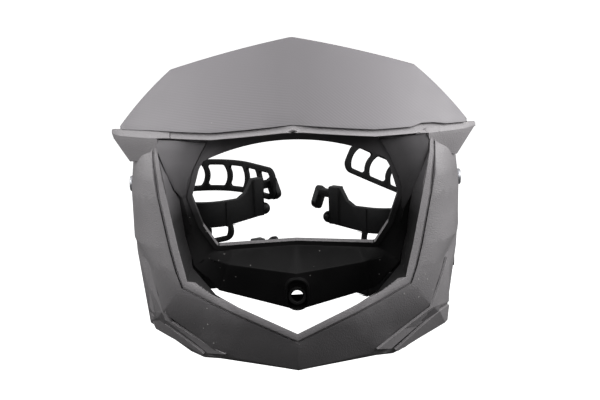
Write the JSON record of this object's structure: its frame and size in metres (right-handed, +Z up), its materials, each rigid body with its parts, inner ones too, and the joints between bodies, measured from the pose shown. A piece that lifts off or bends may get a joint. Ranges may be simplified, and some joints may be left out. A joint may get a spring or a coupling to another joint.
{
  "type": "motorcycle headlight mask",
  "caption": "Black moulded headlight mask with a carbon-look visor, open lamp ring, V-shaped chin, slotted fork brackets and rubber ladder straps",
  "frame": {"origin": "middle of the lamp aperture, 15 mm behind the ring plane, on the mask's plane of symmetry", "axes": "X to the viewer's right, the front faces -Y, Z up along the fork tubes"},
  "size_m": [0.267, 0.1889, 0.2374],
  "materials": {
    "moulded_plastic": "satin, fine grain",
    "carbon_look_film": "satin woven look",
    "bracket_plastic": "matte",
    "strap_rubber": "matte",
    "screw_steel": "zinc plated",
    "washer_steel": "zinc plated",
    "zinc_steel": "zinc plated"
  },
  "bodies": {
    "root": {"mask_shell": "moulded_plastic", "visor_panel": "carbon_look_film", "fork_bracket_upper_left": "bracket_plastic", "rubber_strap_upper_left": "strap_rubber", "side_screw_upper_left": "screw_steel", "side_washer_upper_left": "washer_steel", "lock_nut_upper_left": "zinc_steel", "fork_bracket_upper_right": "bracket_plastic", "rubber_strap_upper_right": "strap_rubber", "side_screw_upper_right": "screw_steel", "side_washer_upper_right": "washer_steel", "lock_nut_upper_right": "zinc_steel", "fork_bracket_lower_left": "bracket_plastic", "rubber_strap_lower_left": "strap_rubber", "side_screw_lower_left": "screw_steel", "side_washer_lower_left": "washer_steel", "lock_nut_lower_left": "zinc_steel", "fork_bracket_lower_right": "bracket_plastic", "rubber_strap_lower_right": "strap_rubber", "side_screw_lower_right": "screw_steel", "side_washer_lower_right": "washer_steel", "lock_nut_lower_right": "zinc_steel", "visor_screw_inner_left": "screw_steel", "visor_screw_inner_right": "screw_steel", "visor_screw_outer_left": "screw_steel", "visor_screw_outer_right": "screw_steel"}
  },
  "joints": []
}
